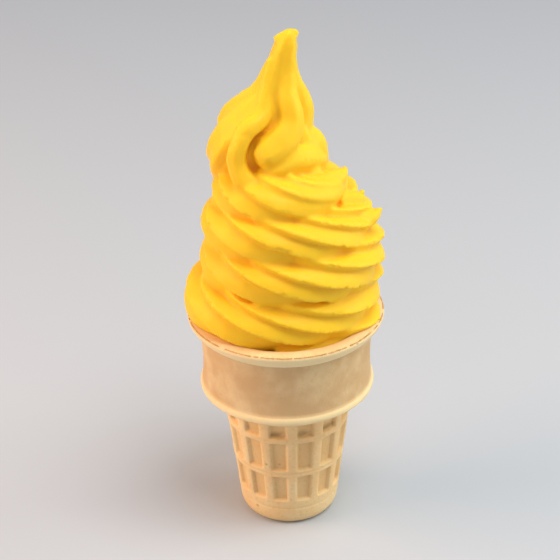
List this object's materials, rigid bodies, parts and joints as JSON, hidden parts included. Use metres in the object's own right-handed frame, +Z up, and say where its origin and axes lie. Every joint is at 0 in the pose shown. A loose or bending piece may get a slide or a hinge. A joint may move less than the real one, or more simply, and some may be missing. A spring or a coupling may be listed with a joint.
{
  "type": "soft serve cone",
  "caption": "Flat-bottomed moulded wafer cup cone filled and topped with a tall, ridged swirl of yellow soft serve drawn up to a hooked peak.",
  "frame": {"origin": "middle of the flat face under the wafer's foot", "axes": "+Z up along the cone; -Y is the side that faces the viewer of the picture, +X to the viewer's right"},
  "size_m": [0.057, 0.056, 0.1499],
  "materials": {
    "wafer": "baked wafer, dry and matte, finely mottled and porous",
    "soft_serve": "frozen fruit soft serve, smooth, softly glossy and a little translucent"
  },
  "bodies": {
    "root": {"wafer_cone": "wafer", "soft_serve": "soft_serve"}
  },
  "joints": []
}
